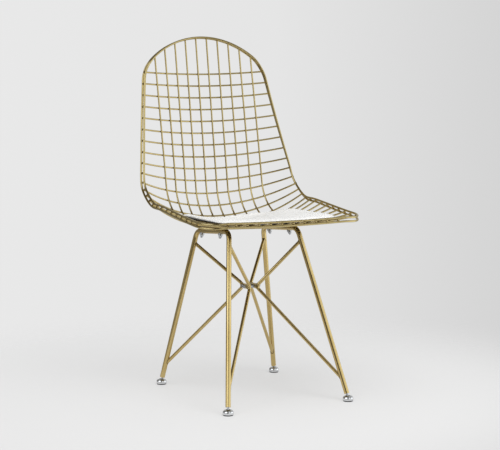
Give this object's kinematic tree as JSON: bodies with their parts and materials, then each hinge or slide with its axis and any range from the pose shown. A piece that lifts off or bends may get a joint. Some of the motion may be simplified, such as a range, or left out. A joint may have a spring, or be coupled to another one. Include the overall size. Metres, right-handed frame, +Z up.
{
  "type": "eiffel chair",
  "caption": "Armless side chair with a bucket shell of welded gold wires, a thin white seat pad and a rod base braced like a lattice tower on levelling swivel glides.",
  "frame": {"origin": "on the floor, in the middle of the chair's own box", "axes": "+Z up, the sitter faces -Y, +X is the sitter's left"},
  "size_m": [0.4218, 0.481, 0.8419],
  "materials": {
    "wire_gold": "satin gold plating on steel wire",
    "base_gold": "satin gold plating on steel rod",
    "zinc_steel": "bright zinc plate",
    "glide_chrome": "polished chrome plate",
    "glide_sole": "moulded nylon",
    "pad": "white cover over thin foam"
  },
  "bodies": {
    "chair": {"cross_wire_01": "wire_gold", "cross_wire_02": "wire_gold", "cross_wire_03": "wire_gold", "cross_wire_04": "wire_gold", "cross_wire_05": "wire_gold", "cross_wire_06": "wire_gold", "cross_wire_07": "wire_gold", "cross_wire_08": "wire_gold", "cross_wire_09": "wire_gold", "cross_wire_10": "wire_gold", "cross_wire_11": "wire_gold", "cross_wire_12": "wire_gold", "cross_wire_13": "wire_gold", "cross_wire_14": "wire_gold", "cross_wire_15": "wire_gold", "cross_wire_16": "wire_gold", "cross_wire_17": "wire_gold", "cross_wire_18": "wire_gold", "cross_wire_19": "wire_gold", "cross_wire_20": "wire_gold", "cross_wire_21": "wire_gold", "cross_wire_22": "wire_gold", "cross_wire_23": "wire_gold", "cross_wire_24": "wire_gold", "front_brace_left": "base_gold", "front_brace_right": "base_gold", "front_rim_wire": "wire_gold", "hub_block_left": "base_gold", "hub_block_right": "base_gold", "hub_screws": "zinc_steel", "hub_spacers": "zinc_steel", "leg_frame_left": "base_gold", "leg_frame_right": "base_gold", "long_wire_pair_1": "wire_gold", "long_wire_pair_2": "wire_gold", "long_wire_pair_3": "wire_gold", "long_wire_pair_4": "wire_gold", "long_wire_pair_5": "wire_gold", "nuts": "zinc_steel", "rear_brace_left": "base_gold", "rear_brace_right": "base_gold", "rear_rim_wire": "wire_gold", "saddle_washers": "zinc_steel", "seat_pad": "pad", "seat_rail_left": "base_gold", "seat_rail_right": "base_gold", "seat_screws": "zinc_steel"},
    "stem_front_left": {"glide_stem_front_left": "zinc_steel"},
    "glide_front_left": {"glide_base_front_left": "glide_sole", "glide_cap_front_left": "glide_chrome"},
    "stem_front_right": {"glide_stem_front_right": "zinc_steel"},
    "glide_front_right": {"glide_base_front_right": "glide_sole", "glide_cap_front_right": "glide_chrome"},
    "stem_rear_left": {"glide_stem_rear_left": "zinc_steel"},
    "glide_rear_left": {"glide_base_rear_left": "glide_sole", "glide_cap_rear_left": "glide_chrome"},
    "stem_rear_right": {"glide_stem_rear_right": "zinc_steel"},
    "glide_rear_right": {"glide_base_rear_right": "glide_sole", "glide_cap_rear_right": "glide_chrome"}
  },
  "joints": [
    {"name": "level_front_left", "type": "slide", "parent": "chair", "child": "stem_front_left", "axis": [0.1602, -0.3073, -0.938], "range_m": [-0.001, 0.006]},
    {"name": "tilt_front_left", "type": "hinge", "parent": "stem_front_left", "child": "glide_front_left", "pos_m": [0.155, -0.228, 0.009], "axis": [-0.8867, -0.4623, 0], "range_deg": [-6, 47]},
    {"name": "level_front_right", "type": "slide", "parent": "chair", "child": "stem_front_right", "axis": [-0.1602, -0.3073, -0.938], "range_m": [-0.001, 0.006]},
    {"name": "tilt_front_right", "type": "hinge", "parent": "stem_front_right", "child": "glide_front_right", "pos_m": [-0.155, -0.228, 0.009], "axis": [-0.8867, 0.4623, 0], "range_deg": [-6, 47]},
    {"name": "level_rear_left", "type": "slide", "parent": "chair", "child": "stem_rear_left", "axis": [0.1721, 0.176, -0.9692], "range_m": [-0.001, 0.006]},
    {"name": "tilt_rear_left", "type": "hinge", "parent": "stem_rear_left", "child": "glide_rear_left", "pos_m": [0.155, 0.137, 0.009], "axis": [0.715, -0.6991, 0], "range_deg": [-12, 41]},
    {"name": "level_rear_right", "type": "slide", "parent": "chair", "child": "stem_rear_right", "axis": [-0.1721, 0.176, -0.9692], "range_m": [-0.001, 0.006]},
    {"name": "tilt_rear_right", "type": "hinge", "parent": "stem_rear_right", "child": "glide_rear_right", "pos_m": [-0.155, 0.137, 0.009], "axis": [0.715, 0.6991, 0], "range_deg": [-12, 41]}
  ]
}
